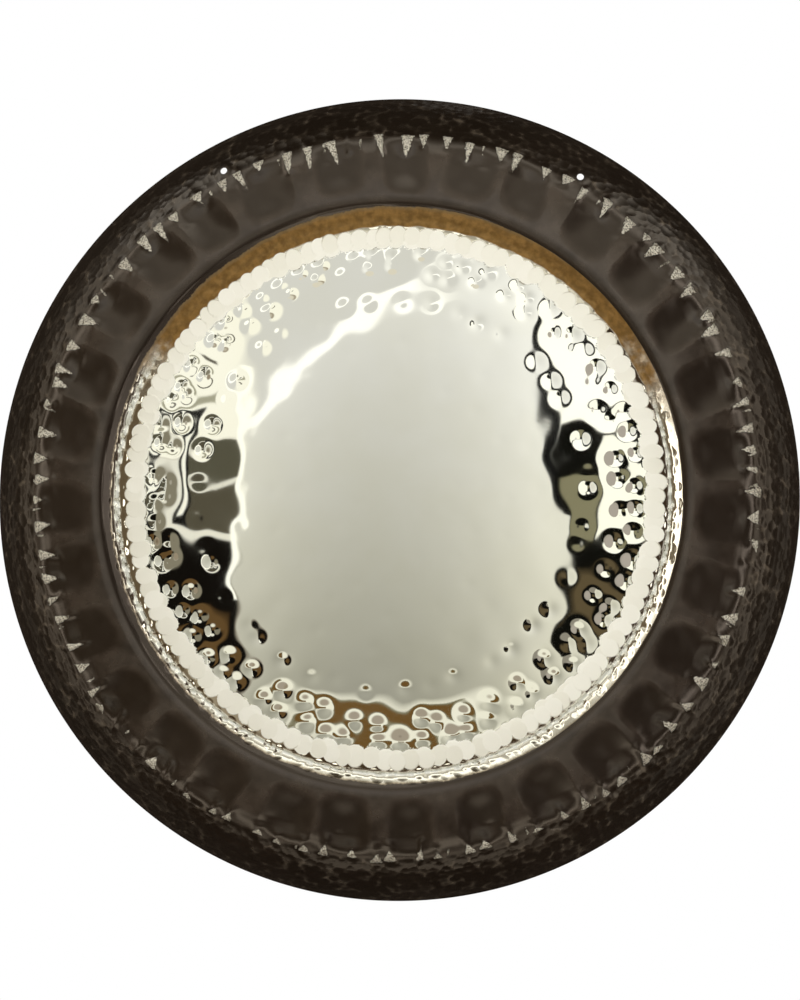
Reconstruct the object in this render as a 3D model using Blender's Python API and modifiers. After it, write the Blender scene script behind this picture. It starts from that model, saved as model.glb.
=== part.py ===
"""A tam tam: one sheet of hammered bronze, 32 inches across, that hangs by two drilled holes.

The sheet is worked out as it lies on the bench, face up: +Z of the bench is the front of the gong.
The bench is an empty, which then turns the gong upright, so that its face looks along -Y and its
two hanging holes lie level on either side of the origin. The sheet is divided where its finish
changes, with a hair's gap between one zone and the next, and all of the zones are one rigid thing.
"""

import math

import bpy

# Driving dimensions, in metres and degrees.
RIM_RADIUS = 0.4065  # half of 32 inches
SHEET = 0.0018  # thickness of the hammered sheet
SEAM = 0.0003  # clear gap between two neighbouring zones
FLATS = 80  # flats round the circle
HOLE_RADIUS = 0.0035
HOLE_CIRCLE = 0.3706  # distance of both hanging holes from the gong's axis
HOLE_ANGLE = 29.0  # of each hole from the top, to the left and to the right
HOLE_SIDES = 24
CUTTER_DEPTH = 0.06  # long enough to pass right through the slanting sheet
MERGE = 0.0001  # largest distance that a turned shape may close up at its ends

# The section of the sheet's front face, from the middle outwards. Each zone is a chain of round
# bends: (radius where the bend ends, fall of the face there in degrees, flats in the bend). The
# face is level at the middle, a fall above zero slopes away to the back, and one below zero
# climbs to the front.
ZONES = {
    "polished_face": [(0.2560, 7.5, 6)],
    "frosted_ring": [(0.2735, 13.0, 2)],
    "burnished_channel": [(0.2830, -26.0, 2), (0.2900, -26.0, 1)],
    "shoulder_band": [(0.3020, 7.0, 2), (0.3470, 16.0, 2)],
    "crease_ring": [(0.3640, 34.0, 2)],
    "rim_skirt": [(RIM_RADIUS, 72.0, 6)],
}

# Each zone's finish: colour, metallic and roughness.
FINISHES = {
    "polished_face": ((0.86, 0.84, 0.74), 1.0, 0.04),
    "frosted_ring": ((0.86, 0.85, 0.78), 1.0, 0.38),
    "burnished_channel": ((0.84, 0.80, 0.68), 1.0, 0.08),
    "shoulder_band": ((0.060, 0.048, 0.042), 0.6, 0.36),
    "crease_ring": ((0.34, 0.31, 0.24), 0.8, 0.40),
    "rim_skirt": ((0.036, 0.024, 0.016), 0.5, 0.46),
}


def bend(start, end_radius, end_fall, flats):
    """The stations along a round bend that starts at a station, without that first one.

    A station is (radius, height, fall). Along an arc of radius R the face's radius grows by R
    times the change of sin(fall), and its height drops by R times the change of cos(fall).
    """
    radius, height, fall = start
    if math.isclose(fall, end_fall):
        drop = (end_radius - radius) * math.tan(fall)
        return [(end_radius, height - drop, end_fall)]
    arc = (end_radius - radius) / (math.sin(end_fall) - math.sin(fall))
    stations = []
    for flat in range(1, flats + 1):
        angle = fall + (end_fall - fall) * flat / flats
        stations.append(
            (
                radius + arc * (math.sin(angle) - math.sin(fall)),
                height - arc * (math.cos(fall) - math.cos(angle)),
                angle,
            )
        )
    return stations


def section():
    """Each zone's stations, with the face's middle at height zero."""
    zones = {}
    last = (0.0, 0.0, 0.0)
    for name, bends in ZONES.items():
        stations = [last]
        for end_radius, end_fall, flats in bends:
            stations += bend(stations[-1], end_radius, math.radians(end_fall), flats)
        zones[name] = stations
        last = stations[-1]
    return zones


def slid(station, distance):
    """A station moved along the sheet, outwards for a distance above zero."""
    radius, height, fall = station
    return (
        radius + distance * math.cos(fall),
        height - distance * math.sin(fall),
        fall,
    )


def behind(station):
    """The point of the sheet's back face that is square behind a station of its front face."""
    radius, height, fall = station
    return max(0.0, radius - SHEET * math.sin(fall)), height - SHEET * math.cos(fall)


def outline(stations):
    """The zone's section: out along the front face, through the sheet, and in along the back.

    A cut between two zones is square to the sheet. The rim's edge is trimmed level instead, so
    that a gong laid face up rests on all of it.
    """
    stations = list(stations)
    if stations[0][0] > 0:
        stations[0] = slid(stations[0], SEAM / 2)
    trimmed = math.isclose(stations[-1][0], RIM_RADIUS)
    if not trimmed:
        stations[-1] = slid(stations[-1], -SEAM / 2)
    front = [(radius, height) for radius, height, fall in stations]
    back = [behind(station) for station in stations]
    if trimmed:
        radius, height, fall = stations[-1]
        back[-1] = (radius - SHEET / math.sin(fall), height)
    return front + back[::-1]


def finish(name):
    colour, metallic, roughness = FINISHES[name]
    material = bpy.data.materials.new(name)
    material.use_nodes = True
    shader = material.node_tree.nodes["Principled BSDF"]
    shader.inputs["Base Color"].default_value = (*colour, 1.0)
    shader.inputs["Metallic"].default_value = metallic
    shader.inputs["Roughness"].default_value = roughness
    return material


def turned(name, points, bench, collection):
    """A zone of the gong: its outline turned once round the bench's +Z axis."""
    mesh = bpy.data.meshes.new(name)
    edges = [(i, i + 1) for i in range(len(points) - 1)]
    if points[0][0] > 0:
        edges.append((len(points) - 1, 0))
    mesh.from_pydata([(radius, 0.0, height) for radius, height in points], edges, [])
    mesh.materials.append(finish(name))
    zone = bpy.data.objects.new(name, mesh)
    zone.parent = bench
    collection.objects.link(zone)
    screw = zone.modifiers.new("turn", "SCREW")
    screw.axis = "Z"
    screw.angle = math.tau
    screw.steps = screw.render_steps = FLATS
    screw.use_merge_vertices = True
    screw.merge_threshold = MERGE
    screw.use_smooth_shade = True
    return zone


def hole_centre(side):
    """Where a hanging hole crosses the bench's plane, for side -1 on the left or 1 on the right."""
    angle = math.radians(HOLE_ANGLE)
    return side * HOLE_CIRCLE * math.sin(angle), HOLE_CIRCLE * math.cos(angle)


def sheet_height(radius):
    """Height of the middle of the sheet at a radius, between the two nearest stations."""
    stations = [station for zone in section().values() for station in zone]
    for inner, outer in zip(stations, stations[1:]):
        if inner[0] <= radius < outer[0]:
            along = (radius - inner[0]) / (outer[0] - inner[0])
            front = inner[1] + along * (outer[1] - inner[1])
            return front - SHEET / 2 / math.cos((inner[2] + outer[2]) / 2)
    raise ValueError("the radius is outside the gong")


def drill(skirt, bench, cutters):
    """Cuts both hanging holes, straight from front to back through the slanting skirt."""
    height = sheet_height(HOLE_CIRCLE)
    for side, where in ((-1, "left"), (1, "right")):
        bpy.ops.mesh.primitive_cylinder_add(
            vertices=HOLE_SIDES,
            radius=HOLE_RADIUS,
            depth=CUTTER_DEPTH,
            location=(*hole_centre(side), height),
        )
        cutter = bpy.context.active_object
        cutter.name = f"{where}_hole_cutter"
        cutter.parent = bench
        cutter.hide_render = True
        cutter.display_type = "WIRE"
        for collection in cutter.users_collection:
            collection.objects.unlink(cutter)
        cutters.objects.link(cutter)
        hole = skirt.modifiers.new(f"{where}_hole", "BOOLEAN")
        hole.operation = "DIFFERENCE"
        hole.solver = "EXACT"
        hole.object = cutter


def main():
    for old in list(bpy.data.objects):
        bpy.data.objects.remove(old, do_unlink=True)
    gong = bpy.data.collections.new("tam_tam")
    cutters = bpy.data.collections.new("cutters")
    bpy.context.scene.collection.children.link(gong)
    bpy.context.scene.collection.children.link(cutters)
    bench = bpy.data.objects.new("bench", None)
    gong.objects.link(bench)
    zones = {}
    for name, stations in section().items():
        zones[name] = turned(name, outline(stations), bench, gong)
    drill(zones["rim_skirt"], bench, cutters)
    # Hung up: the bench's front turns to -Y, and the point between the holes goes to the origin.
    bench.rotation_euler = (math.pi / 2, 0.0, 0.0)
    bench.location = (0.0, sheet_height(HOLE_CIRCLE), -hole_centre(1)[1])


main()
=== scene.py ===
"""The tam tam as it looks: one hammered sheet of bronze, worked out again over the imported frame.

Every zone of the sheet is a closed shell. Its front face follows the gong's section, lifted or
sunk by the hammer: dents in the polished face, satin marks round it, thumbprint dimples on the
shoulder, pleats in the fold and fine planishing on the rim. Lengths in the sheet's own functions
are in millimetres: s is the distance from the middle out along the face, turn the angle clockwise
from the top as seen from the front, and lift the height over the plain section.
"""

import math

import bpy
import numpy as np
from mathutils import Matrix, Vector


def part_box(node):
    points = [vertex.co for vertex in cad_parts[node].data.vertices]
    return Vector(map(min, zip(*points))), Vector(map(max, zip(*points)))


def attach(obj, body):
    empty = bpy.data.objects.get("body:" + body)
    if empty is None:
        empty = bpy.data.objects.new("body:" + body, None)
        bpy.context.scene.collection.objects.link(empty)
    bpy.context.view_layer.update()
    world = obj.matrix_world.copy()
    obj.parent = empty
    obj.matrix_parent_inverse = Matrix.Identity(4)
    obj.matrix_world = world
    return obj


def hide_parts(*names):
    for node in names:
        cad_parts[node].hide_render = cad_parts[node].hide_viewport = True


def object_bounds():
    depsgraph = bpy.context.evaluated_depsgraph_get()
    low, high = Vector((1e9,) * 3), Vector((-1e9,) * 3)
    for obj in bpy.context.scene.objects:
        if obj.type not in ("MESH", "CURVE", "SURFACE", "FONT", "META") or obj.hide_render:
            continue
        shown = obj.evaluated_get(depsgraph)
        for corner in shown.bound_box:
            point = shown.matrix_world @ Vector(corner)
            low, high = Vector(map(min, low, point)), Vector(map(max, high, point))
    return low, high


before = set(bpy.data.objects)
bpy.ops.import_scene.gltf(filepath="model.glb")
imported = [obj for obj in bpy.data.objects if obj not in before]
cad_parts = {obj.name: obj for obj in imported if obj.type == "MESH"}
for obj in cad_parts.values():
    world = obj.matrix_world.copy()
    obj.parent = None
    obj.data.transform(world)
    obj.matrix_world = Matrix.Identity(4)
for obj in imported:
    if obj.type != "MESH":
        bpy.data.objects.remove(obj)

TAU = math.tau
MM = 0.001
CAD_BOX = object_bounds()

# The gong in its frame: its axis runs along Y, and its face looks along -Y.
RIM_LOW, RIM_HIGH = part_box("rim_skirt")
RIM = (RIM_HIGH.x - RIM_LOW.x) / 2 / MM
AXIS_Z = (RIM_HIGH.z + RIM_LOW.z) / 2
FRONT_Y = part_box("polished_face")[0].y
SHEET = 1.8
HOLE_RADIUS = 3.5
HOLE_CIRCLE = 370.6
HOLE_TURNS = (math.radians(-29), math.radians(29))
HOLE_PLAIN = 1.5  # width of the plain sheet round a hole
HOLE_FADE = 9.0  # distance from a hole's edge at which the hammering is at its full depth
TRIM = 0.6  # sheet thicknesses by which the back face ends before the rim's trimmed edge

# The section's round bends, outwards: zone, radius where the bend ends, fall of the face there.
BENDS = (
    ("polished_face", 256.0, 7.5),
    ("frosted_ring", 273.5, 13.0),
    ("burnished_channel", 283.0, -26.0),
    ("burnished_channel", 290.0, -26.0),
    ("shoulder_band", 302.0, 7.0),
    ("shoulder_band", 347.0, 16.0),
    ("crease_ring", 364.0, 34.0),
    ("rim_skirt", RIM, 72.0),
)

# How finely each zone is meshed. A band is (radius where it ends, distance between two rings of
# points, points in a ring), and two neighbouring rings have as many points, or three times as many.
FRONT_BANDS = {
    "polished_face": (
        (9.0, 3.0, 40), (30.0, 3.0, 120), (180.0, 2.8, 360),
        (206.0, 1.6, 1080), (214.0, 2.6, 1080), (256.0, 1.45, 1080),
    ),
    "frosted_ring": ((273.5, 0.75, 2160),),
    "burnished_channel": ((290.0, 0.8, 2160),),
    "shoulder_band": ((347.0, 1.5, 1200),),
    "crease_ring": ((364.0, 1.0, 1800),),
    "rim_skirt": ((RIM, 1.55, 1500),),
}
BACK_BANDS = {
    "polished_face": ((9.0, 4.0, 40), (30.0, 4.0, 120), (256.0, 4.3, 360)),
    "frosted_ring": ((273.5, 3.0, 720),),
    "burnished_channel": ((290.0, 3.0, 720),),
    "shoulder_band": ((347.0, 3.0, 600),),
    "crease_ring": ((364.0, 3.0, 600),),
    "rim_skirt": ((RIM, 3.1, 500),),
}


# The section


def section_table():
    """Columns of stations along the section: distance s, radius, height and fall in radians.

    A bend is an arc on which the fall grows evenly with s. From its start, the radius grows by s
    times the mean of cos(fall) and the height drops by s times the mean of sin(fall), which are
    the cosine and the sine of the mean fall, times sin(h) / h for half the change of fall h.
    """
    columns = [np.zeros((4, 1))]
    for _, end_radius, end_fall in BENDS:
        s, radius, height, fall = columns[-1][:, -1]
        part = np.linspace(0, 1, 81)[1:]
        falls = fall + (math.radians(end_fall) - fall) * part
        middle = (falls + fall) / 2
        chord = np.sinc((falls - fall) / 2 / math.pi)
        out = (end_radius - radius) / (math.cos(middle[-1]) * chord[-1]) * part
        radii = radius + out * np.cos(middle) * chord
        heights = height - out * np.sin(middle) * chord
        columns.append(np.stack((s + out, radii, heights, falls)))
    return np.concatenate(columns, axis=1)


TABLE = section_table()
RIM_END = TABLE[0, -1]


def section(s):
    """Radius, height and fall at a distance s, read between the stations of the table."""
    return tuple(np.interp(s, TABLE[0], column) for column in TABLE[1:])


def radius_at(s):
    return np.interp(s, TABLE[0], TABLE[1])


def along(radius):
    """The distance s at which the front face reaches a radius."""
    return np.interp(radius, TABLE[1], TABLE[0])


def zone_ends(zone):
    """Where a zone starts and ends, as distances s."""
    names = [name for name, _, _ in BENDS]
    ends = [0.0] + [float(along(radius)) for _, radius, _ in BENDS]
    first = names.index(zone)
    last = len(names) - 1 - names[::-1].index(zone)
    return ends[first], ends[last + 1]


def in_space(radius, height, turn):
    """Points in metres in the gong's frame, from radius, height and turn in the section's mm."""
    x = radius * np.sin(turn) * MM
    z = AXIS_Z + radius * np.cos(turn) * MM
    return np.stack((x, FRONT_Y - height * MM, z), axis=-1)


def sheet_points(s, turn, lift):
    """Points of the sheet: the section at s, moved by lift along the face's normal."""
    radius, height, fall = section(s)
    return in_space(radius + lift * np.sin(fall), height + lift * np.cos(fall), turn)


def sheet_normals(s, turn, shape):
    """The face's true normals under a relief, which is a function of s and turn.

    The plain normal is tipped back by the relief's slope out along the section and round the
    gong. Both slopes are the relief's differences over a step to either side.
    """
    step = 0.25
    radius, _, fall = section(s)
    round_step = step / np.maximum(radius, 2.0)
    out_slope = (shape(s + step, turn) - shape(s - step, turn)) / (2 * step)
    round_slope = (shape(s, turn + round_step) - shape(s, turn - round_step)) / (2 * step)
    sine, cosine = np.sin(turn), np.cos(turn)
    out_part = np.sin(fall) - out_slope * np.cos(fall)
    x = out_part * sine - round_slope * cosine
    y = -np.cos(fall) - out_slope * np.sin(fall)
    z = out_part * cosine + round_slope * sine
    normals = np.stack((x, y, z), axis=-1)
    return normals / np.linalg.norm(normals, axis=-1, keepdims=True)


# The hammer's marks


def smooth(value, low, high):
    """0 below low, 1 above high, and an even S curve between them."""
    part = np.clip((value - low) / (high - low), 0, 1)
    return part * part * (3 - 2 * part)


def between(value, low, high, edge):
    """1 from low to high, fading to 0 over edge outside either end."""
    return smooth(value, low - edge, low) * (1 - smooth(value, high, high + edge))


def beyond(s, low, high):
    """0 inside the radius low, 1 outside the radius high, and an even S curve between them."""
    return smooth(s, along(low), along(high))


def band(s, low, high, edge):
    """1 from the radius low to the radius high, fading to 0 over edge outside either end."""
    return between(s, along(low), along(high), edge)


def only(mask, shape, s, turn, outside=0.0):
    """What shape() gives at the points of a mask, and outside at the others."""
    values = np.full_like(s, outside)
    if mask.any():
        values[mask] = shape(s[mask], turn[mask])
    return values


def ripple(turn, seed, orders):
    """An uneven line round the gong, from -1 to 1: a mean of waves that close after one turn."""
    draw = np.random.default_rng(seed)
    total = 0.0
    for order in orders:
        total = total + np.sin(order * turn + draw.uniform(0, TAU))
    return total / len(orders)


class Row:
    """Marks of the hammer set round the gong in a row, each a little off its even place."""

    def __init__(self, seed, count, radius, wander=0.2, scatter=0.0, **ranges):
        draw = np.random.default_rng(seed)
        self.count = count
        self.pitch = TAU / count
        self.turn = (np.arange(count) + draw.uniform(-wander, wander, count)) * self.pitch
        self.place = along(radius + draw.uniform(-scatter, scatter, count))
        for name, (low, high) in ranges.items():
            setattr(self, name, draw.uniform(low, high, count))

    def near(self, s, turn, reach=1):
        """For each point, the row's nearest marks: their numbers, and how far round and how far
        out from each of them the point lies."""
        radius = radius_at(s)
        nearest = np.round(turn / self.pitch).astype(int)
        for step in range(-reach, reach + 1):
            number = nearest + step
            mark = number % self.count
            lap = (number - mark) // self.count
            across = (turn - self.turn[mark] - lap * TAU) * radius
            yield mark, across, s - self.place[mark]


def close_rows(seed, places, pitch, wander, **ranges):
    """A row at each of some distances s, its marks about pitch apart, one seed after another."""
    return [
        Row(seed + number, max(3, int(TAU * radius / pitch)), radius, wander, **ranges)
        for number, radius in enumerate(radius_at(places))
    ]


def beaten(rows, places, reach, stretch, s, turn):
    """Marks in close rows, that overlap. Each is depth times (q squared - 1), where q is the
    distance from its middle over its size, with the distance round the gong divided by stretch.
    At each point the deepest mark wins, so that sharp ridges are left between them."""
    lift = np.zeros_like(s)
    for row, place in zip(rows, places):
        close = np.abs(s - place) < reach
        if not close.any():
            continue
        low = lift[close]
        for mark, across, _ in row.near(s[close], turn[close]):
            out = s[close] - place - row.slip[mark]
            square = ((across / stretch) ** 2 + out**2) / row.size[mark] ** 2
            low = np.minimum(low, row.depth[mark] * (square - 1))
        lift[close] = low
    return lift


OUTSIDE = -30.0  # how far inside a mark a point lies that is outside all of them

DENT_SPREAD = 4.9
DENT_REACH = 50.0  # distance in or out past which a row of dents is left out
HOLLOW_SPREAD = 12.0
HOLLOW_SHARE = 0.36  # of a dent's depth that its wide hollow has
DENT_ROWS = [
    Row(11, 63, 242.0, 0.26, 3.5, size=(0.84, 1.08), depth=(0.30, 0.62)),
    Row(12, 50, 225.5, 0.30, 4.0, size=(0.86, 1.10), depth=(0.30, 0.62)),
    Row(13, 41, 194.0, 0.28, 3.5, size=(0.86, 1.08), depth=(0.06, 0.42)),
    Row(18, 29, 172.0, 0.30, 6.0, size=(1.8, 2.6), depth=(0.03, 0.10)),
    Row(14, 21, 150.0, 0.25, 4.0, size=(0.9, 1.3), depth=(0.02, 0.06)),
    Row(15, 16, 118.0, 0.25, 4.0, size=(0.9, 1.1), depth=(0.01, 0.04)),
    Row(16, 13, 92.0, 0.25, 4.0, size=(0.9, 1.1), depth=(0.01, 0.03)),
    Row(17, 9, 65.0, 0.25, 4.0, size=(0.9, 1.1), depth=(0.01, 0.02)),
]


def face_dents(s, turn):
    """Round dents in rows. Each is depth times a Gaussian of its size times DENT_SPREAD, in a
    wider and shallower Gaussian hollow."""
    lift = np.zeros_like(s)
    for row in DENT_ROWS:
        close = np.abs(s - row.place.mean()) < DENT_REACH
        if not close.any():
            continue
        part = np.zeros(close.sum())
        for mark, across, out in row.near(s[close], turn[close], 2):
            square = across**2 + out**2
            bowl = np.exp(-square / (2 * (DENT_SPREAD * row.size[mark]) ** 2))
            hollow = np.exp(-square / (2 * HOLLOW_SPREAD**2))
            part -= row.depth[mark] * (bowl + HOLLOW_SHARE * hollow)
        lift[close] += part
    return lift


def face_wander(s, turn):
    """The face's own unevenness: two sets of slow waves that wind opposite ways, and grow from
    nothing at the middle towards the frosted ring."""
    grow = smooth(s, 0, 110) * 0.02 + smooth(s, 120, 250) * 0.04
    right_waves = ripple(turn + s * 0.006, 21, (5, 8, 11))
    left_waves = ripple(turn - s * 0.009, 22, (7, 13))
    return grow * (right_waves + left_waves)


VALLEY_RADIUS = 275.0
VALLEY_DEPTH = 0.35
VALLEY_SPREAD = 5.2  # distance at which the groove's depth is 1 / e of its full depth
CHANNEL_DENTS = [
    Row(31, 121, 275.5, 0.34, 1.6, size=(4.6, 7.4), depth=(0.25, 0.75)),
    Row(35, 109, 281.5, 0.36, 1.8, size=(4.4, 7.2), depth=(0.25, 0.85)),
]
INNER_PETALS = Row(
    32, 118, 257.0, 0.25, 1.4, wide=(7.6, 9.4), long=(6.2, 8.2), depth=(0.04, 0.10),
    tip=(-0.012, 0.012), tone=(0.0, 1.0), rank=(0.0, 1.0), seam=(0.0, 1.0),
)
OUTER_PETALS = Row(
    33, 122, 262.0, 0.20, 1.2, wide=(8.0, 9.4), long=(8.8, 10.4), depth=(0.10, 0.24),
    tip=(-0.018, 0.018), tone=(0.0, 1.0), rank=(0.0, 1.0), seam=(0.0, 1.0),
)


def channel_dents(s, turn):
    """Small dents in the valley: depth times (1 - q squared) to the power 1.4, where q is the
    distance from the dent's middle over its size."""
    lift = np.zeros_like(s)
    for row in CHANNEL_DENTS:
        for mark, across, out in row.near(s, turn):
            bowl = np.clip(1 - (across**2 + out**2) / row.size[mark] ** 2, 0, None) ** 1.4
            lift -= row.depth[mark] * bowl
    return lift


def valley(s, turn):
    """The groove beaten in at the marks' outer edge: a Gaussian that wanders a little in and
    out."""
    out = s - along(VALLEY_RADIUS) - 1.8 * ripple(turn, 34, (6, 23, 37, 61))
    return -VALLEY_DEPTH * np.exp(-((out / VALLEY_SPREAD) ** 2))


# The satin marks are laid in three passes, of a row and the share of its marks that the pass
# leaves out. The last one lays some of the outer row again, on top of their neighbours.
PASSES = ((INNER_PETALS, 0.06), (OUTER_PETALS, 0.0), (OUTER_PETALS, 0.72))


def petals(s, turn, ground):
    """The satin hammer marks, laid over each other like scales on top of the ground's relief.

    Each mark is an oval. Inside it the sheet takes the mark's own shallow bowl and tip, so that
    the last mark laid wins: 0.1 below the plain sheet, minus depth times (1 - q squared), plus
    tip times the distance across, where q runs from 0 in the oval's middle to 1 at its edge.
    Returns the relief, how far inside the marks a point lies in mm (less than 0 outside them), the
    tone of the mark on top, which the shader paints as the mark's shading, and the painted shade
    line along the outer ends of some marks.
    """
    lift = ground
    inside = np.full_like(s, OUTSIDE)
    tone = np.full_like(s, 0.5)
    seam = np.zeros_like(s)
    for row, left_out in PASSES:
        for mark, across, out in row.near(s, turn, 2):
            oval = np.hypot(across / row.wide[mark], out / row.long[mark])
            depth_in = (1 - oval) * row.wide[mark]
            depth_in = np.where(row.rank[mark] < left_out, OUTSIDE, depth_in)
            cover = smooth(depth_in, -0.45, 0.45)
            bowl = -0.10 - row.depth[mark] * (1 - oval**2) + row.tip[mark] * across
            lift = lift * (1 - cover) + bowl * cover
            # The tone on top, which the shader paints as the mark's shading.
            tone = tone * (1 - cover) + row.tone[mark] * cover
            # A dark line painted along some marks' outer ends: painted shade at the step between
            # marks.
            line = np.exp(-((depth_in - 0.2) / 0.4) ** 2) * smooth(row.seam[mark], 0.2, 0.9)
            line = line * smooth(out, 1.0, 6.0)
            seam = np.maximum(seam * (1 - cover), line)
            inside = np.maximum(inside, depth_in)
    return lift, inside, tone, seam


DIMPLES = Row(
    41, 31, 326.5, 0.10, 1.6, wide=(24.5, 29.5), long=(26.5, 31.5), depth=(3.0, 4.4),
    lean=(-0.16, 0.16),
)
ARCH = 2.6  # roundness of a dimple's inner end: 2 is an ellipse, and more is squarer
SCOOP = 22.0  # length of a dimple from its middle out to where it runs out


def dimples(s, turn):
    """Thumbprint dimples on the shoulder: scoops, rounded and steep at their inner ends, that open
    to the fold.

    Each is depth times (1 - q squared) to the power 1.2 times a ramp. Outside the dimple's middle
    q is the distance across over its half width. Inside it, q to the power ARCH is the sum of that
    to the same power and of the distance inwards over its length, to the same power. The ramp is
    1 - (1 - t) to the power 2.2, where t runs from 0 at the inner end to 1 near the fold.
    """
    lift = np.zeros_like(s)
    for mark, across, out in DIMPLES.near(s, turn):
        across = across - DIMPLES.lean[mark] * out
        long = DIMPLES.long[mark]
        inwards = np.clip(-out / long, 0, None)
        total = np.abs(across / DIMPLES.wide[mark]) ** ARCH + inwards**ARCH
        bowl = np.clip(1 - total ** (2 / ARCH), 0, None) ** 1.2
        ramp = 1 - np.clip(1 - (out + long) / (long + SCOOP), 0, 1) ** 2.2
        lift -= DIMPLES.depth[mark] * bowl * ramp
    return lift * (1 - beyond(s, 341.0, 362.0))


TEETH = Row(
    51, 93, 361.5, 0.26, 2.0, width=(7.5, 14.5), length=(8.0, 24.0), skew=(-3.5, 3.5),
    ridge=(0.5, 1.25), rank=(0.0, 1.0),
)
SLIVERS = Row(
    52, 70, 360.0, 0.45, 3.0, width=(1.2, 2.6), length=(5.0, 13.0), skew=(-3.0, 3.0),
    rank=(0.0, 1.0),
)
SKEW_LENGTH = 18.0  # distance out over which a tooth leans over by its skew
TEETH_OUT = 2.8  # how far outside their rows' radius the teeth lie on average


def fold_line(turn):
    """How far out from their rows' radius the teeth lie: a slow wave on a circle that is a little
    off centre."""
    return 1.2 * ripple(turn, 53, (1, 3, 5)) + TEETH_OUT + 2.0 * np.sin(turn) - 0.8 * np.cos(turn)


def pleats(s, turn):
    """Pinched ridges under the teeth: ridge times a Gaussian across, from inside the tooth's tip
    to outside its base. They stand in a furrow along the fold, among finer ripples."""
    lift = np.zeros_like(s)
    for mark, across, out in TEETH.near(s - fold_line(turn), turn):
        skewed = across + TEETH.skew[mark] * out / SKEW_LENGTH
        width = TEETH.width[mark] * 0.42
        span = between(out, -TEETH.length[mark] * 0.8, 2.0, 9.0)
        lift += TEETH.ridge[mark] * np.exp(-((skewed / width) ** 2)) * span
    furrow = band(s, 352.0, 368.0, 9.0)
    drapery = ripple(turn, 54, (61, 83, 97)) * band(s, 344.0, 360.0, 8.0)
    return lift - 0.35 * furrow + 0.30 * drapery


def scraped(s, turn):
    """How far inside a scraped tooth or sliver a point lies, mm.

    A tooth is a wedge: straight at its base, with half its width times (1 - y / length) to a
    power on either side at a distance y in from the base. The teeth are longest at the top.
    """
    inside = np.full_like(s, OUTSIDE)
    for row, left_out, power in ((TEETH, 0.06, 0.8), (SLIVERS, 0.45, 0.5)):
        for mark, across, out in row.near(s - fold_line(turn), turn):
            inward = -out
            length = row.length[mark] * (0.85 + 0.30 * np.cos(row.turn[mark]))
            skewed = np.abs(across + row.skew[mark] * out / SKEW_LENGTH)
            taper = np.clip(1 - inward / length, 0, 1) ** power
            side = row.width[mark] / 2 * taper - skewed
            wedge = np.minimum(np.minimum(side, inward + 0.6), (length - inward) * 0.5)
            wedge = np.where(row.rank[mark] < left_out, OUTSIDE, wedge)
            inside = np.maximum(inside, wedge)
    return inside


RIM_PLACES = np.arange(along(366.0), RIM_END + 4, 6.2)
RIM_ROWS = close_rows(
    60, RIM_PLACES, 10.5, 0.35, size=(5.4, 8.4), depth=(0.35, 0.85), slip=(-1.8, 1.8)
)


def planishing(s, turn):
    """The rim's small hammer marks, a little wider than they are long."""
    return beaten(RIM_ROWS, RIM_PLACES, 10.5, 1.25, s, turn)


def clear_of_holes(s, turn):
    """0 round the hanging holes, where the sheet keeps its plain section, and 1 elsewhere."""
    radius = radius_at(s)
    clear = np.ones_like(s)
    for hole_turn in HOLE_TURNS:
        aside = radius * np.sin(turn) - HOLE_CIRCLE * math.sin(hole_turn)
        above = radius * np.cos(turn) - HOLE_CIRCLE * math.cos(hole_turn)
        apart = np.hypot(aside, above)
        clear = clear * smooth(apart, HOLE_RADIUS + HOLE_PLAIN, HOLE_RADIUS + HOLE_FADE)
    return clear


CHANNEL_END = 290.0  # radius where the inner relief ends
PATINA_START = 288.2  # radius of the dark patina's inner edge
FLOOR_REFLECTION_WIDTH = 20.5  # of the painted reflection of the brown floor inside that edge


def off_centre(turn):
    """How far out the valley and its marks lie: their circle is a little low and to the right."""
    return 2.6 * np.sin(turn) - 2.4 * np.cos(turn)


def inner_relief(s, turn):
    """The relief inside the valley's outer edge, and what petals() says of the satin marks."""
    s = s - off_centre(turn) * beyond(s, 215.0, 250.0)
    ground = (face_dents(s, turn) + face_wander(s, turn)) * (1 - beyond(s, 256.0, 266.0))
    in_channel = beyond(s, 262.0, 270.0) * (1 - beyond(s, 284.0, 289.0))
    ground = ground + channel_dents(s, turn) * in_channel
    lift, inside, tone, seam = petals(s, turn, ground)
    return lift + valley(s, turn), inside, tone, seam


def outer_relief(s, turn):
    """The relief from the valley's outer edge to the rim's."""
    slow = 0.35 * ripple(turn, 71, (5, 9, 13, 18)) * band(s, 296.0, 380.0, 14.0)
    calm = 1 - smooth(s, RIM_END - 5.0, RIM_END - 0.8)
    shaped = dimples(s, turn) + pleats(s, turn) + slow
    shaped = shaped + planishing(s, turn) * beyond(s, 360.0, 369.0)
    return shaped * (clear_of_holes(s, turn) * calm)


def relief(s, turn):
    """The whole front face's relief."""
    inner = s < along(CHANNEL_END)
    lift = only(inner, lambda *places: inner_relief(*places)[0], s, turn)
    return lift + only(~inner, outer_relief, s, turn)


BACK_PLACES = np.arange(8.0, RIM_END + 10, 11.0)
BACK_ROWS = close_rows(
    80, BACK_PLACES, 17.0, 0.4, size=(8.5, 13.0), depth=(0.25, 0.65), slip=(-3.0, 3.0)
)


def anvil_marks(s, turn):
    """The anvil's broad marks on the back, which are round."""
    return beaten(BACK_ROWS, BACK_PLACES, 16.5, 1.0, s, turn)


def back_relief(s, turn):
    """The back face's relief: what shows through the sheet from the front, softened, and the
    anvil's marks."""
    shoulder = s > along(292.0)
    shown = 0.55 * only(s < along(262.0), face_dents, s, turn)
    shown = shown + only(shoulder, dimples, s, turn) + 0.6 * only(shoulder, pleats, s, turn)
    shown = shown + anvil_marks(s, turn)
    calm = 1 - smooth(s, RIM_END - 8.0, RIM_END - 2.5)
    return shown * clear_of_holes(s, turn) * calm


# Meshing


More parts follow.
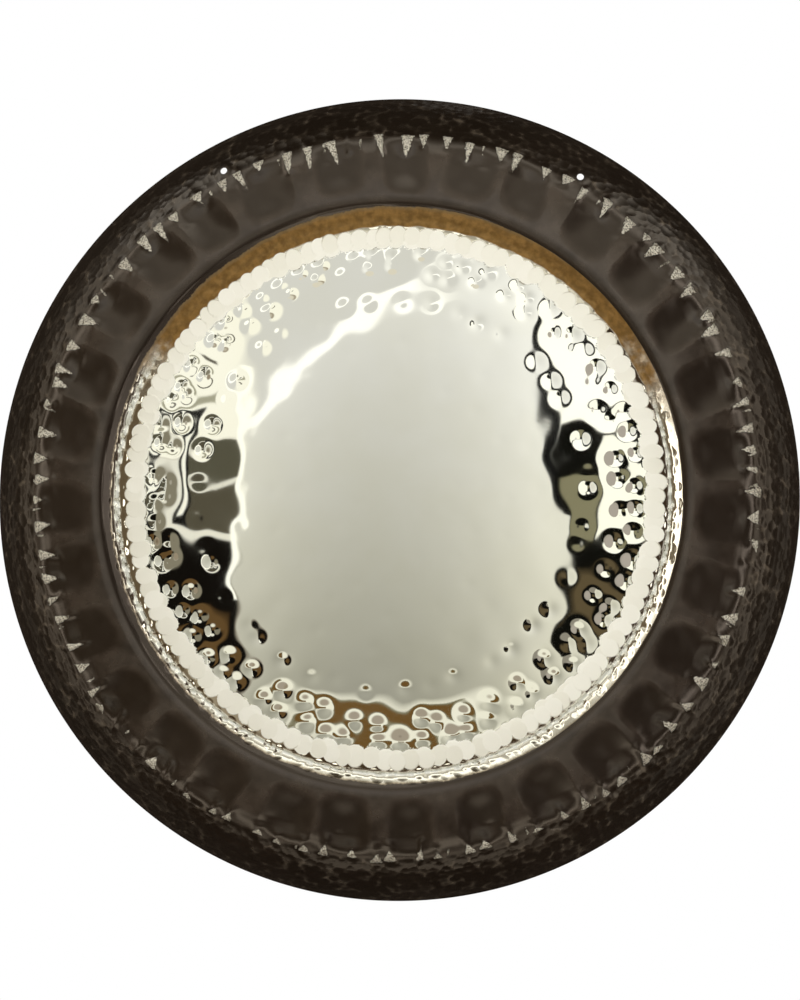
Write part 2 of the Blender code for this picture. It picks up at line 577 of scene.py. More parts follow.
def rings(bands, start, end):
    """The rings of points of one face: (s, points in the ring), outwards from start to end."""
    found = []
    low = start
    for radius, spacing, count in bands:
        high = min(float(along(radius)), end)
        steps = max(2, round((high - low) / spacing))
        places = np.linspace(low, high, steps + 1)
        if found:
            places = places[1:]
        found += [(place, count) for place in places]
        low = high
    if start == 0.0:
        found[0] = (0.0, 1)
    return found


MARKS = ("frost", "tone", "seam", "scrape", "patina", "worn", "behind")


class Shell:
    """A zone's closed shell while it is put together: points, their normals and their faces, and
    the values at the points that the shaders read."""

    def __init__(self):
        self.points = []
        self.normals = []
        self.marks = {name: [] for name in MARKS}
        self.faces = {3: [], 4: []}
        self.size = 0

    def add(self, points, normals, **marks):
        """Adds points and gives their numbers. A mark that isn't given is 0."""
        count = len(points)
        self.points.append(points)
        self.normals.append(normals)
        for name, values in self.marks.items():
            values.append(np.broadcast_to(marks.get(name, 0.0), count))
        self.size += count
        return np.arange(self.size - count, self.size)

    def face(self, *corners, flat=False):
        """Adds one face for each set of corner numbers, smooth or flat."""
        block = np.stack(np.broadcast_arrays(*corners), axis=-1).reshape(-1, len(corners))
        self.faces[len(corners)].append((block, np.full(len(block), flat)))

    def stitch(self, first, second, flat=False):
        """Joins two closed loops of points that run side by side, the second one outside or
        behind the first. Either may have a whole number of times as many points as the other,
        and a loop of one point is a pole."""
        one, two = len(first), len(second)
        if one == two:
            self.face(first, np.roll(first, -1), np.roll(second, -1), second, flat=flat)
        elif one == 1:
            self.face(first, np.roll(second, -1), second, flat=flat)
        elif two == 1:
            self.face(first, np.roll(first, -1), second, flat=flat)
        else:
            coarse, fine = (first, second) if one < two else (second, first)
            times = len(fine) // len(coarse)
            fans = fine.reshape(len(coarse), times)
            fans = np.concatenate((fans, np.roll(fans[:, :1], -1, axis=0)), axis=1)
            after = np.roll(coarse, -1)
            half = times // 2
            for step in range(times):
                apex = coarse if step < half else after
                if one < two:
                    self.face(apex, fans[:, step + 1], fans[:, step], flat=flat)
                else:
                    self.face(fans[:, step], fans[:, step + 1], apex, flat=flat)
            if one < two:
                self.face(coarse, after, fans[:, half], flat=flat)
            else:
                self.face(fans[:, half], after, coarse, flat=flat)

    def build(self, name):
        """Makes the mesh object, without points that no face uses."""
        points = np.concatenate(self.points)
        normals = np.concatenate(self.normals)
        blocks = [(block, flat) for size in (3, 4) for block, flat in self.faces[size]]
        corners = np.concatenate([block.ravel() for block, _ in blocks])
        sizes = np.concatenate([np.full(len(block), block.shape[1]) for block, _ in blocks])
        flats = np.concatenate([flat for _, flat in blocks])
        used, corners = np.unique(corners, return_inverse=True)
        points, normals = points[used], normals[used]
        starts = np.concatenate(([0], np.cumsum(sizes)[:-1]))
        mesh = bpy.data.meshes.new(name)
        mesh.vertices.add(len(points))
        mesh.vertices.foreach_set("co", points.astype(np.float32).ravel())
        mesh.loops.add(len(corners))
        mesh.loops.foreach_set("vertex_index", corners.astype(np.int32))
        mesh.polygons.add(len(sizes))
        mesh.polygons.foreach_set("loop_start", starts.astype(np.int32))
        mesh.update(calc_edges=True)
        mesh.validate()
        mesh.shade_smooth()
        for mark, values in self.marks.items():
            layer = mesh.attributes.new(mark, "FLOAT", "POINT")
            layer.data.foreach_set("value", np.concatenate(values)[used].astype(np.float32))
        edge_one = points[corners[starts + 1]] - points[corners[starts]]
        edge_two = points[corners[starts + 2]] - points[corners[starts]]
        face_normals = np.cross(edge_one, edge_two)
        face_normals /= np.linalg.norm(face_normals, axis=1, keepdims=True)
        flat_corners = np.repeat(flats, sizes)[:, None]
        flat_normals = np.repeat(face_normals, sizes, axis=0)
        split = np.where(flat_corners, flat_normals, normals[corners])
        mesh.normals_split_custom_set(split)
        piece = bpy.data.objects.new(name, mesh)
        bpy.context.scene.collection.objects.link(piece)
        return piece


def front_marks(s, turn):
    """The values that the shaders read on the front face: how far inside the satin marks, the
    scraped teeth and the patina a point lies, the satin marks' tone, painted as their shading, the
    painted shade lines between them, and where the patina's ridges and the rim's lumps get a
    painted highlight."""
    frost = np.full_like(s, OUTSIDE)
    tone = np.full_like(s, 0.5)
    seam = np.zeros_like(s)
    inner = s < along(CHANNEL_END)
    if inner.any():
        _, frost[inner], tone[inner], seam[inner] = inner_relief(s[inner], turn[inner])
    scrape = only(s > along(330.0), scraped, s, turn, OUTSIDE)
    shoulder = (s > along(285.0)) & (s < along(372.0))
    # Where the patina is painted lighter as a highlight: the ridges between the dimples, and the
    # tops of the rim's lumps.
    ridges = 1 - smooth(-only(shoulder, dimples, s, turn), 0.05, 1.3)
    worn = ridges * band(s, 299.0, 346.0, 8.0)
    rim = s > along(360.0)
    worn = np.where(rim, smooth(only(rim, planishing, s, turn), -0.46, -0.06), worn)
    uneven = 1.6 * ripple(turn, 72, (7, 19, 31, 53, 88))
    dark = s - along(PATINA_START) + uneven - 5.5 * np.sin(turn) - 0.8 * np.cos(turn)
    return dict(frost=frost, tone=tone, seam=seam, scrape=scrape, patina=dark, worn=worn)


def add_front(shell, s, turn):
    """Adds points of the front face."""
    normals = sheet_normals(s, turn, relief)
    points = sheet_points(s, turn, relief(s, turn))
    return shell.add(points, normals, **front_marks(s, turn))


def add_back(shell, s, turn):
    """Adds points of the back face, a sheet's thickness square behind the front's section."""
    normals = -sheet_normals(s, turn, back_relief)
    points = sheet_points(s, turn, back_relief(s, turn) - SHEET)
    # The ridges between the anvil's marks, which are painted lighter as their highlight.
    ridges = smooth(anvil_marks(s, turn), -0.16, -0.02)
    return shell.add(points, normals, behind=1.0, worn=ridges)


def add_rings(shell, add, places):
    """Adds a face's rings of points by one of the two functions above, as lists of numbers."""
    s = np.concatenate([np.full(count, place) for place, count in places])
    turn = np.concatenate([np.arange(count) / count * TAU for _, count in places])
    numbers = add(shell, s, turn)
    return np.split(numbers, np.cumsum([count for _, count in places])[:-1])


def block_round_hole(places, numbers, hole_turn, half):
    """A square block of the grid round a hanging hole, half that many steps from its middle to
    each side: its first and last row and column, and the loop of its outline."""
    centre = along(HOLE_CIRCLE)
    row = int(np.argmin([abs(place - centre) for place, _ in places]))
    count = places[row][1]
    column = int(round(hole_turn / TAU * count)) % count
    rows = (row - half, row + half)
    columns = (column - half, column + half)
    grid = np.stack(numbers[rows[0]:rows[1] + 1])[:, columns[0]:columns[1] + 1]
    loop = np.concatenate((grid[:0:-1, 0], grid[0, :-1], grid[:-1, -1], grid[-1, :0:-1]))
    return rows, columns, loop


def stitch_rings(shell, numbers, blocks, inward):
    """Joins a face's rings in turn, leaving out the blocks round the holes."""
    for row in range(len(numbers) - 1):
        first, second = numbers[row], numbers[row + 1]
        gaps = [columns for rows, columns, _ in blocks if rows[0] <= row < rows[1]]
        if not gaps:
            pair = (second, first) if inward else (first, second)
            shell.stitch(*pair)
            continue
        keep = np.ones(len(first), bool)
        for low, high in gaps:
            keep[low:high] = False
        after = np.roll(np.arange(len(first)), -1)
        quad = (first[keep], first[after[keep]], second[after[keep]], second[keep])
        shell.face(*(quad[::-1] if inward else quad))


def hole_circle(loop_points, hole_turn):
    """Points round a hanging hole's edge, at the angles of a loop of points round it."""
    x = HOLE_CIRCLE * math.sin(hole_turn)
    z = HOLE_CIRCLE * math.cos(hole_turn)
    angle = np.arctan2((loop_points[:, 2] - AXIS_Z) / MM - z, loop_points[:, 0] / MM - x)
    px = x + HOLE_RADIUS * np.cos(angle)
    pz = z + HOLE_RADIUS * np.sin(angle)
    return np.hypot(px, pz), np.arctan2(px, pz)


def line_hole(shell, hole_turn, front_loop, back_loop):
    """Joins the front and the back face through a hanging hole, with a wall straight along Y."""
    points = np.concatenate(shell.points)
    radius, turn = hole_circle(points[front_loop], hole_turn)
    front = add_front(shell, along(radius), turn)
    back_radius = TABLE[1] - SHEET * np.sin(TABLE[3])
    back = add_back(shell, np.interp(radius, back_radius, TABLE[0]), turn)
    shell.stitch(front_loop, front)
    shell.stitch(front, back, flat=True)
    shell.stitch(back, back_loop)


def zone_shell(zone):
    """One zone of the sheet as a closed shell: front rings outwards, then back rings inwards."""
    start, end = zone_ends(zone)
    shell = Shell()
    front_places = rings(FRONT_BANDS[zone], start, end)
    front = add_rings(shell, add_front, front_places)
    trimmed = zone == "rim_skirt"
    back_end = end - SHEET * TRIM if trimmed else end
    back_places = rings(BACK_BANDS[zone], start, back_end)
    back = add_rings(shell, add_back, back_places)
    front_blocks, back_blocks = [], []
    if trimmed:
        for hole_turn in HOLE_TURNS:
            front_blocks.append(block_round_hole(front_places, front, hole_turn, 4))
            back_blocks.append(block_round_hole(back_places, back, hole_turn, 2))
    stitch_rings(shell, front, front_blocks, False)
    stitch_rings(shell, back, back_blocks, True)
    for hole_turn, front_block, back_block in zip(HOLE_TURNS, front_blocks, back_blocks):
        line_hole(shell, hole_turn, front_block[2], back_block[2])
    if trimmed:
        # The rim's back edge is trimmed level, so its inner corner lies beside the outer one.
        radius, height, fall = (float(value) for value in section(end))
        count = len(back[-1])
        turn = np.arange(count) / count * TAU
        inner_radius = np.full(count, radius - SHEET / math.sin(fall))
        corner = in_space(inner_radius, np.full(count, height), turn)
        inner = shell.add(corner, np.tile((0.0, 1.0, 0.0), (count, 1)), behind=1.0)
        shell.stitch(front[-1], inner, flat=True)
        shell.stitch(inner, back[-1], flat=True)
    else:
        shell.stitch(front[-1], back[-1], flat=True)
    if start > 0:
        shell.stitch(back[0], front[0], flat=True)
    return shell


# Shader wiring


class Wire:
    """A socket's value in a node tree. An operator on it adds the Math node that works it out."""

    def __init__(self, board, socket):
        self.board = board
        self.socket = socket

    def maths(self, operation, *values):
        sockets = dict(enumerate(values))
        return self.board.add("ShaderNodeMath", {"operation": operation}, sockets)

    def __add__(self, other):
        return self.maths("ADD", self, other)

    def __sub__(self, other):
        return self.maths("SUBTRACT", self, other)

    def __mul__(self, other):
        return self.maths("MULTIPLY", self, other)

    def __truediv__(self, other):
        return self.maths("DIVIDE", self, other)

    def __rsub__(self, other):
        return self.maths("SUBTRACT", other, self)

    def least(self, other):
        return self.maths("MINIMUM", self, other)

    def most(self, other):
        return self.maths("MAXIMUM", self, other)


class Board:
    """A node tree being wired."""

    def __init__(self, tree):
        self.tree = tree

    def plug(self, socket, value):
        """Sets a socket's value, or links a wire to it."""
        if isinstance(value, Wire):
            self.tree.links.new(value.socket, socket)
        elif isinstance(value, tuple) and len(value) == 3 and len(socket.default_value) == 4:
            socket.default_value = (*value, 1.0)
        else:
            socket.default_value = value

    def add(self, kind, settings=None, sockets=None, out=0):
        """Adds a node: its settings first, then its sockets' values or wires."""
        node = self.tree.nodes.new(kind)
        for name, value in (settings or {}).items():
            setattr(node, name, value)
        for key, value in (sockets or {}).items():
            self.plug(node.inputs[key], value)
        return Wire(self, node.outputs[out])

    def attribute(self, name):
        return self.add("ShaderNodeAttribute", {"attribute_name": name}, out="Fac")

    def smooth(self, value, low, high):
        """0 below low, 1 above high."""
        sockets = {0: value, 1: low, 2: high}
        return self.add("ShaderNodeMapRange", {"interpolation_type": "SMOOTHSTEP"}, sockets)

    def noise(self, place, scale, detail=2.0, roughness=0.5, stretch=None):
        """A cloudy value from 0 to 1, with its scale in waves per metre."""
        if stretch:
            place = self.add("ShaderNodeMapping", None, {0: place, 3: stretch})
        sockets = {"Vector": place, "Scale": scale, "Detail": detail, "Roughness": roughness}
        return self.add("ShaderNodeTexNoise", None, sockets)

    def mix(self, factor, first, second):
        """A colour between two colours."""
        sockets = {0: factor, 6: first, 7: second}
        return self.add("ShaderNodeMix", {"data_type": "RGBA"}, sockets, out=2)

    def blend(self, factor, first, second):
        """A number between two numbers."""
        return factor * (second - first) + first


# Finishes

MIRROR = (0.865, 0.850, 0.725)
SCRAPED = (0.93, 0.90, 0.78)
PATINA_INDEX = 1.72
PATINA_SHEEN = (1.0, 0.87, 0.73)
BACK_METALLIC = 0.3


def finish(name):
    """A new material, its board, its shader and the gong's own coordinates in metres."""
    material = bpy.data.materials.new(name)
    material.use_nodes = True
    board = Board(material.node_tree)
    shader = material.node_tree.nodes["Principled BSDF"]
    place = board.add("ShaderNodeTexCoord", out="Object")
    return material, board, shader, place


def wire_shader(board, shader, **sockets):
    """Sets or links the shader's sockets, whose names are given with _ for a space."""
    for name, value in sockets.items():
        board.plug(shader.inputs[name.replace("_", " ")], value)


def lay(board, cover, under, over):
    """One finish over another, where cover is 1. A finish is a colour, roughness and metallic."""
    return (
        board.mix(cover, under[0], over[0]),
        board.blend(cover, under[1], over[1]),
        board.blend(cover, under[2], over[2]),
    )


def wire_faces(board, shader, place, front):
    """Gives the shader the front face's finish, and the back face's brown patina behind it."""
    clouds = board.noise(place, 22.0, 4.0, 0.6)
    specks = board.noise(place, 240.0, 3.0, 0.6)
    back = board.mix(
        board.smooth(clouds, 0.30, 0.75), (0.066, 0.046, 0.028), (0.115, 0.078, 0.043)
    )
    back = board.mix(board.smooth(specks, 0.58, 0.75) * 0.5, back, (0.030, 0.022, 0.016))
    # A painted highlight on the back's ridges.
    back = board.mix(board.attribute("worn") * 0.4, back, (0.26, 0.19, 0.11))
    behind = board.attribute("behind")
    back_finish = (back, clouds * 0.14 + 0.28, BACK_METALLIC)
    colour, roughness, metallic = lay(board, behind, front, back_finish)
    wire_shader(board, shader, Base_Color=colour, Roughness=roughness, Metallic=metallic)


def frosted(board, place, under):
    """Lays the satin of the hammer marks over a finish, by the frost attribute."""
    ragged = board.noise(place, 900.0, 3.0, 0.6) - 0.5
    inside = board.attribute("frost") + ragged * 1.1
    cover = board.smooth(inside, -0.25, 0.25)
    tone = board.attribute("tone")
    seam = board.attribute("seam")
    grain = board.noise(place, 2600.0, 2.0, 0.6)
    # Painted shading: each mark's satin is lighter or darker by its tone, standing in for the
    # facet's tilt; the tone also sets its roughness.
    satin = board.mix(tone, (0.89, 0.875, 0.755), (0.965, 0.955, 0.85))
    satin = board.mix(board.smooth(grain, 0.35, 0.8) * 0.15, satin, (0.78, 0.75, 0.62))
    # Painted shade: the dark line along some marks' outer ends.
    satin = board.mix(seam * 0.7, satin, (0.30, 0.25, 0.14))
    return lay(board, cover, under, (satin, tone * 0.10 + 0.30, 0.30))


def painted_floor_reflection(board, place, under):
    """Paints gold-brown over the strip between the satin marks and the patina, in the gong's upper
    half: a painted reflection of the brown floor, which the valley's outer wall faces there."""
    height = board.add("ShaderNodeSeparateXYZ", None, {0: place}, out="Z")
    clouds = board.noise(place, 34.0, 4.0, 0.65) - 0.5
    mottle = board.noise(place, 130.0, 4.0, 0.6)
    # Only above the axis, where the valley's outer wall faces down at the floor: painted
    # reflection.
    upper = board.smooth(height + clouds * 0.16, AXIS_Z + 0.08, AXIS_Z + 0.16)
    inner_edge = board.attribute("patina") + FLOOR_REFLECTION_WIDTH
    cover = upper * board.smooth(inner_edge, -1.0, 1.0)
    # The floor's painted reflection, in mottled gold-brown.
    gold = board.mix(board.smooth(mottle, 0.32, 0.68), (0.27, 0.150, 0.038), (0.155, 0.082, 0.017))
    return lay(board, cover, under, (gold, mottle * 0.16 + 0.30, 0.55))


def patinated(board, place, under):
    """Lays the brown patina over a finish, by the patina attribute, with a stain at its edge."""
    colour, roughness, metallic = under
    patch = board.attribute("patina")
    ragged = (board.noise(place, 420.0, 4.0, 0.65) - 0.5) * 5.0
    cover = board.smooth(patch + ragged, -0.9, 0.9)
    stain = board.smooth(patch + ragged * 0.6, -4.5, 0.0) * 0.8
    brown, rough = patina(board, place)
    colour = board.mix(stain, colour, (0.20, 0.14, 0.065))
    return lay(board, cover, (colour, roughness + stain * 0.12, metallic), (brown, rough, 0.0))


def patina(board, place):
    """The dark patina, an oxide that is glossy by its high index: its colour and roughness."""
    clouds = board.noise(place, 9.0, 4.0, 0.55)
    mottle = board.noise(place, 75.0, 5.0, 0.62)
    specks = board.noise(place, 420.0, 3.0, 0.6)
    colour = board.mix(
        board.smooth(clouds, 0.36, 0.66), (0.0075, 0.0048, 0.0030), (0.017, 0.0120, 0.0085)
    )
    colour = board.mix(board.smooth(mottle, 0.42, 0.72) * 0.55, colour, (0.006, 0.0038, 0.002))
    colour = board.mix(board.smooth(specks, 0.62, 0.78) * 0.35, colour, (0.05, 0.037, 0.022))
    return colour, mottle * 0.12 + 0.17


def mirror_bronze():
    """Polished bronze, with the haze and hairlines of the buff."""
    material, board, shader, place = finish("mirror_bronze")
    haze = board.noise(place, 16.0, 3.0, 0.5)
    hair = board.noise(place, 60.0, 3.0, 0.6, stretch=(14.0, 1.0, 1.0))
    rough = haze * 0.022 + board.smooth(hair, 0.60, 0.80) * 0.02 + 0.018
    colour = board.mix(board.smooth(haze, 0.3, 0.7), MIRROR, (0.885, 0.872, 0.76))
    wire_faces(board, shader, place, frosted(board, place, (colour, rough, 1.0)))
    return material


def frosted_bronze():
    """The ring of satin hammer marks, burnished where no mark reaches."""
    material, board, shader, place = finish("frosted_bronze")
    streaks = board.noise(place, 300.0, 3.0, 0.6)
    dull = board.smooth(streaks, 0.5, 0.8) * 0.5
    colour = board.mix(dull, (0.85, 0.83, 0.70), (0.62, 0.58, 0.44))
    layers = painted_floor_reflection(board, place, (colour, streaks * 0.03 + 0.03, 1.0))
    wire_faces(board, shader, place, frosted(board, place, layers))
    return material


def burnished_bronze():
    """The valley: burnished metal under the last of the satin marks and the edge of the patina."""
    material, board, shader, place = finish("burnished_bronze")
    streaks = board.noise(place, 260.0, 4.0, 0.62)
    dull = board.smooth(streaks, 0.5, 0.8) * 0.4
    colour = board.mix(dull, (0.90, 0.88, 0.76), (0.60, 0.55, 0.42))
    layers = painted_floor_reflection(board, place, (colour, streaks * 0.10 + 0.07, 1.0))
    layers = patinated(board, place, layers)
    wire_faces(board, shader, place, frosted(board, place, layers))
    wire_shader(board, shader, IOR=PATINA_INDEX, Specular_Tint=PATINA_SHEEN)
    return material


def dark_finish(name, tint, strength, sheen_colour):
    """The patina of an outer zone, tinted, painted lighter in patches on its ridges as their
    highlight, with the scraped metal of the teeth."""
    material, board, shader, place = finish(name)
    colour, rough = patina(board, place)
    colour = board.mix(strength, colour, tint)
    patches = board.smooth(board.noise(place, 42.0, 3.0, 0.6), 0.25, 0.75)
    # Painted highlight: the ridges take the lighter colour, in patches.
    colour = board.mix(board.attribute("worn") * patches, colour, sheen_colour)
    fret = board.noise(place, 330.0, 5.0, 0.78) - 0.5
    inside = board.attribute("scrape") + fret * 7.0
    cover = board.smooth(inside, -0.2, 0.25)
    chips = board.noise(place, 640.0, 5.0, 0.78)
    metal_colour = board.mix(board.smooth(chips, 0.42, 0.52), (0.11, 0.085, 0.045), SCRAPED)
    pits = {"Strength": 0.9, "Distance": 0.0012, "Height": chips * cover}
    pitted = board.add("ShaderNodeBump", None, pits)
    front = lay(board, cover, (colour, rough, 0.0), (metal_colour, 0.33, 0.85))
    wire_faces(board, shader, place, front)
    wire_shader(board, shader, Normal=pitted, IOR=PATINA_INDEX, Specular_Tint=PATINA_SHEEN)
    return material


# An outer zone's patina: its tint, the tint's strength, and the colour painted on its ridges as
# their highlight.
BROWN = ((0.0070, 0.0042, 0.0022), 0.5, (0.036, 0.027, 0.020))
BLACK = ((0.0055, 0.0033, 0.0018), 0.6, (0.110, 0.088, 0.064))
FINISHES = {
    "polished_face": mirror_bronze,
    "frosted_ring": frosted_bronze,
    "burnished_channel": burnished_bronze,
    "shoulder_band": lambda: dark_finish("brown_patina", *BROWN),
    "crease_ring": lambda: dark_finish("scraped_patina", *BROWN),
    "rim_skirt": lambda: dark_finish("black_patina", *BLACK),
}


def make_gong():
    """All zones of the sheet, each in place of its plain node."""
    for zone in FRONT_BANDS:
        piece = zone_shell(zone).build("hammered_" + zone)
        piece.data.materials.append(FINISHES[zone]())
        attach(piece, "root")
        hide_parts(zone)


# The studio

# Cards of light and shade round the gong, painted one over the other: the far ones first, then the
# softbox, and then the near ones. Each has its left, right, lowest and highest edge and its edges'
# softness in degrees, the lean of its upright edges, and its colour. Across, 0 is straight ahead
# of the face and 90 is towards +X. Up, 0 is level and 90 overhead.
FAR_CARDS = (
    (-180, 180, 14, 91, 3, 0, (0.80, 0.76, 0.68)),
    (-180, 180, 32, 91, 4, 0, (0.42, 0.39, 0.34)),
    (-180, 180, 43, 54, 5, 0, (1.5, 1.48, 1.40)),
    (-180, 180, 62, 91, 6, 0, (0.06, 0.045, 0.030)),
    (-180, 180, -91, -15, 3, 0, (0.40, 0.35, 0.30)),
    (-180, 180, -91, -24, 3, 0, (0.06, 0.038, 0.022)),
    (-60, 60, -76, -58, 5, 0, (0.75, 0.69, 0.60)),
    (-60, 60, -48, -40, 4, 0, (2.0, 1.9, 1.7)),
    (-180, -16, -28, 22, 3, 0, (0.34, 0.285, 0.22)),
    (-180, -31, -30, 24, 4, 0, (0.13, 0.095, 0.06)),
    (-60, -52, -28, 40, 4, 0, (2.6, 2.45, 2.25)),
    (-86, -76, -40, 40, 5, 0, (1.0, 0.92, 0.80)),
    (14, 180, -26, 22, 3, 0, (0.46, 0.42, 0.40)),
    (22, 180, -30, 26, 4, 0, (0.045, 0.028, 0.018)),
    (44, 52, -34, 44, 4, 0, (3.0, 2.85, 2.75)),
    (74, 84, -40, 40, 5, 0, (1.2, 1.12, 1.0)),
    (-180, -96, -91, 91, 4, 0, (0.05, 0.038, 0.028)),
    (96, 180, -91, 91, 4, 0, (0.05, 0.038, 0.028)),
    (-118, -111, -50, 50, 4, 0, (0.30, 0.26, 0.21)),
    (108, 116, -50, 50, 4, 0, (0.50, 0.46, 0.40)),
)
NEAR_CARDS = (
    # Left of the softbox.
    (-27, -15.4, 5.8, 20, 1.2, 0, (1.1, 1.09, 1.02)),
    (-24, -17.5, 8.6, 9.6, 0.3, 0, (0.42, 0.41, 0.33)),
    (-27, -18.5, 11.5, 12.3, 0.3, 0, (0.10, 0.09, 0.07)),
    (-27, -15.4, -1.6, 5.8, 0.5, 0, (0.9, 0.89, 0.84)),
    (-27, -15.4, -12, -1.2, 0.35, 0, (0.006, 0.005, 0.004)),
    (-21.5, -15.3, -12, -6.8, 0.8, 0.2, (0.13, 0.075, 0.03)),
    (-27, -22.0, -8, 7, 1.0, 0, (0.25, 0.23, 0.18)),
    (-20.7, -18.9, -0.2, 8.0, 0.12, 0, (0.004, 0.004, 0.004)),
    (-20.2, -19.5, 0.8, 7.2, 0.12, 0, (1.1, 1.1, 1.05)),
    (-19.0, -15.8, 3.5, 6.0, 0.12, 0, (0.10, 0.095, 0.07)),
    (-19.0, -15.8, -0.2, 3.1, 0.12, 0, (0.095, 0.085, 0.062)),
    (-15.9, -15.35, -5.0, 11.0, 0.2, 0.02, (1.3, 1.3, 1.25)),
    # Right of the softbox.
    (7.95, 16, 8.0, 24, 0.25, -0.115, (1.3, 1.3, 1.25)),
    (7.7, 14, -9.0, 8.0, 0.25, -0.03, (0.005, 0.005, 0.004)),
    (7.3, 8.25, 1.0, 17.0, 0.14, -0.115, (0.004, 0.004, 0.004)),
    (10.7, 14.5, 0.0, 7.6, 0.15, 0, (1.2, 1.2, 1.12)),
    (7.9, 10.4, -0.1, 4.0, 0.15, 0, (0.26, 0.245, 0.16)),
    (8.6, 12.0, -6.5, -3.0, 1.0, 0, (0.12, 0.09, 0.05)),
    # Below the softbox: a pale sill, and the floor in front.
    (-28, 20, -16.5, -12.3, 1.2, 0, (0.95, 0.94, 0.86)),
    (-12.2, 1.5, -14.9, -12.9, 0.12, 0, (0.20, 0.185, 0.12)),
    (-11.8, 1.1, -14.6, -13.2, 0.12, 0, (0.16, 0.088, 0.028)),
)
SOFTBOX = (-15.5, 8.0, -12.6, 26.0, 0.2, -0.06)  # as a card, without its colour
DIMMEST, BRIGHTEST = 0.35, 1.25
BOW_TOP = 17.8  # height of the softbox's bowed white edge in its middle, in degrees
BOW_FALL = 0.045  # of that edge, per square degree across
BOW_LIGHT = 1.3
TOP_LIGHT = 0.75  # of the softbox above that edge


def card_mask(board, across, up, left, right, low, high, softness, lean):
    """1 inside a card and 0 outside it: the least distance to its four edges, over its softness."""
    leant = across + up * -lean
    inside = (leant - left).least(right - leant).least(up - low).least(high - up)
    return board.add("ShaderNodeClamp", None, {0: inside / softness + 0.5})


def studio():
    """The light: a large softbox straight ahead and cards round it, before a white backdrop."""
    world = bpy.data.worlds.new("studio")
    bpy.context.scene.world = world
    world.use_nodes = True
    board = Board(world.node_tree)
    background = world.node_tree.nodes["Background"]
    direction = board.add("ShaderNodeTexCoord", out="Generated")
    split = board.add("ShaderNodeSeparateXYZ", None, {0: direction})
    x, y, z = (Wire(board, output) for output in split.socket.node.outputs)
    across = x.maths("ARCTAN2", x, y * -1.0) * (180 / math.pi)
    up = z.maths("ARCSINE", z) * (180 / math.pi)
    colour = (0.30, 0.28, 0.25)
    for *card, paint in FAR_CARDS:
        colour = board.mix(card_mask(board, across, up, *card), colour, paint)
    # The softbox: brighter to either side and upwards, under a bowed white edge with a dimmer top.
    aside = across + 6.0
    light = aside * aside * 0.0019 + (up - 2.5) * 0.0165 + 0.60
    light = light.least(BRIGHTEST).most(DIMMEST)
    above = up - (BOW_TOP - across * across * BOW_FALL)
    leftwards = 1.0 - board.smooth(across, -4.0, 1.0)
    light = board.blend(board.smooth(above, 0.6, 1.4) * leftwards, light, TOP_LIGHT)
    edge = board.smooth(above, -1.3, -0.7) * (1.0 - board.smooth(above, 0.5, 1.1)) * leftwards
    light = board.blend(edge, light, BOW_LIGHT)
    warm = board.smooth(up, -14.0, 16.0)
    tint = board.mix(warm, (1.0, 0.985, 0.88), (1.0, 1.005, 1.02))
    glow = board.add("ShaderNodeVectorMath", {"operation": "SCALE"}, {0: tint, "Scale": light})
    mask = card_mask(board, across, up, *SOFTBOX)
    colour = board.mix(mask, colour, glow)
    for *card, paint in NEAR_CARDS:
        colour = board.mix(card_mask(board, across, up, *card), colour, paint)
    # Behind the gong: a softbox that lights its back.
    colour = board.mix(board.smooth(y, 0.90, 0.975), colour, (1.50, 1.47, 1.38))
    seen = board.add("ShaderNodeLightPath", out="Is Camera Ray")
    colour = board.mix(seen, colour, (1.0, 1.0, 1.0))
    board.plug(background.inputs["Color"], colour)


LAMP_SIZE = 3.0
FLOOR_RADIUS = 2.2
FLOOR_DEPTH = 0.02
FLOOR_DROP = 0.95  # from the gong's axis to the middle of the slab


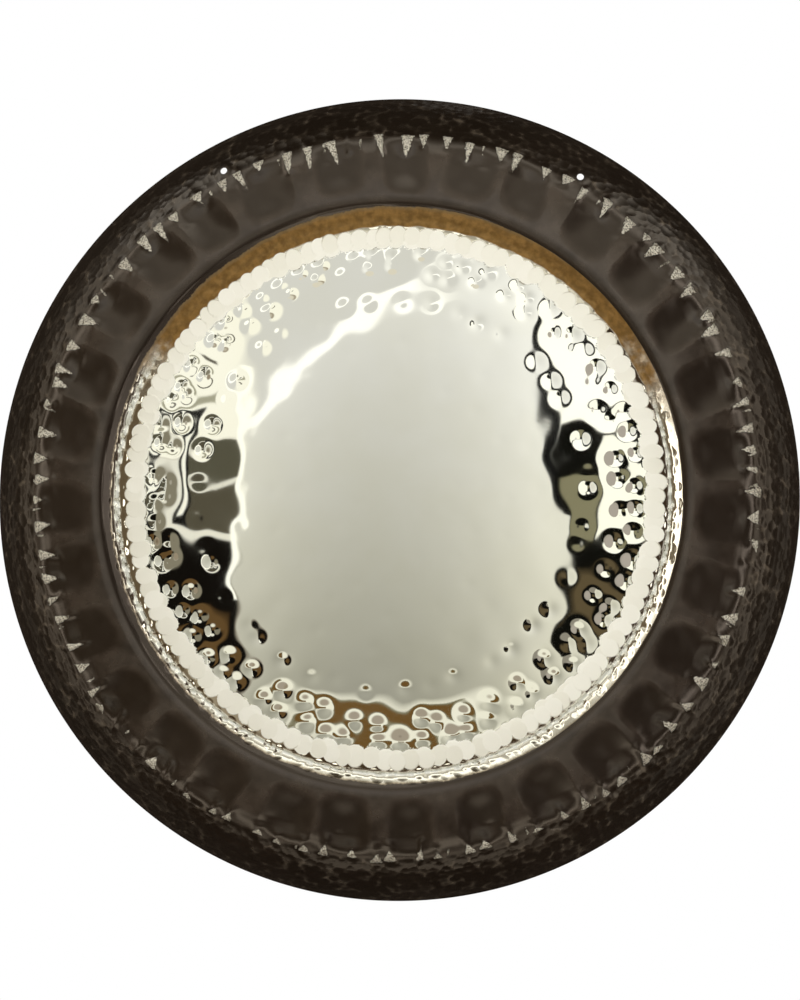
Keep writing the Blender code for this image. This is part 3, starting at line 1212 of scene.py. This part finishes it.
def soft_light(name, place, watts):
    """A large square lamp that faces the gong. It lights matt surfaces, and isn't mirrored."""
    data = bpy.data.lights.new(name, "AREA")
    data.shape = "SQUARE"
    data.size = LAMP_SIZE
    data.energy = watts
    lamp = bpy.data.objects.new(name, data)
    bpy.context.scene.collection.objects.link(lamp)
    place = Vector(place)
    toward = Vector((0, 0, AXIS_Z)) - place
    lamp.matrix_world = Matrix.LocRotScale(place, toward.to_track_quat("-Z", "Y"), None)
    lamp.visible_glossy = False
    lamp.visible_camera = False


def floor():
    """A plain pale floor under the gong, a round slab."""
    bpy.ops.mesh.primitive_cylinder_add(
        vertices=96, radius=FLOOR_RADIUS, depth=FLOOR_DEPTH, location=(0, 0, AXIS_Z - FLOOR_DROP)
    )
    slab = bpy.context.active_object
    slab.name = "floor"
    material, board, shader, _ = finish("pale_floor")
    wire_shader(board, shader, Base_Color=(0.8, 0.8, 0.79), Roughness=0.8)
    slab.data.materials.append(material)
    slab.visible_glossy = False


# The view: a long lens a little to the right of the gong's axis and below it.
VIEW_ACROSS = math.radians(4.5)
VIEW_UP = math.radians(-2.5)
VIEW_DISTANCE = 4.5
VIEW_ROLL = math.radians(1.5)
VIEW_AIM = (0.0031, -0.0015)  # from the middle of the rim's edge, right and up
FRAME_HEIGHT = 1.0127  # metres across the view's height, at the rim
SENSOR = 36.0


def camera():
    """The camera aims at the middle of the rim's edge, and is rolled a little to the left."""
    target = Vector((VIEW_AIM[0], CAD_BOX[1].y, AXIS_Z + VIEW_AIM[1]))
    level = Vector((math.sin(VIEW_ACROSS), -math.cos(VIEW_ACROSS), 0.0)) * math.cos(VIEW_UP)
    away = level + Vector((0.0, 0.0, math.sin(VIEW_UP)))
    data = bpy.data.cameras.new("view")
    data.sensor_fit = "VERTICAL"
    data.sensor_height = SENSOR
    data.lens = SENSOR * VIEW_DISTANCE / FRAME_HEIGHT
    data.clip_end = 50.0
    view = bpy.data.objects.new("view", data)
    bpy.context.scene.collection.objects.link(view)
    turned = (-away).to_track_quat("-Z", "Y").to_matrix() @ Matrix.Rotation(VIEW_ROLL, 3, "Z")
    view.matrix_world = Matrix.LocRotScale(target + away * VIEW_DISTANCE, turned, None)
    bpy.context.scene.camera = view


bpy.context.scene.view_settings.view_transform = "Standard"
make_gong()
studio()
soft_light("front_light", (0.6, -4.0, -1.5), 136.0)
soft_light("back_light", (-1.0, 4.0, 1.0), 60.0)
floor()
camera()
bpy.context.view_layer.update()
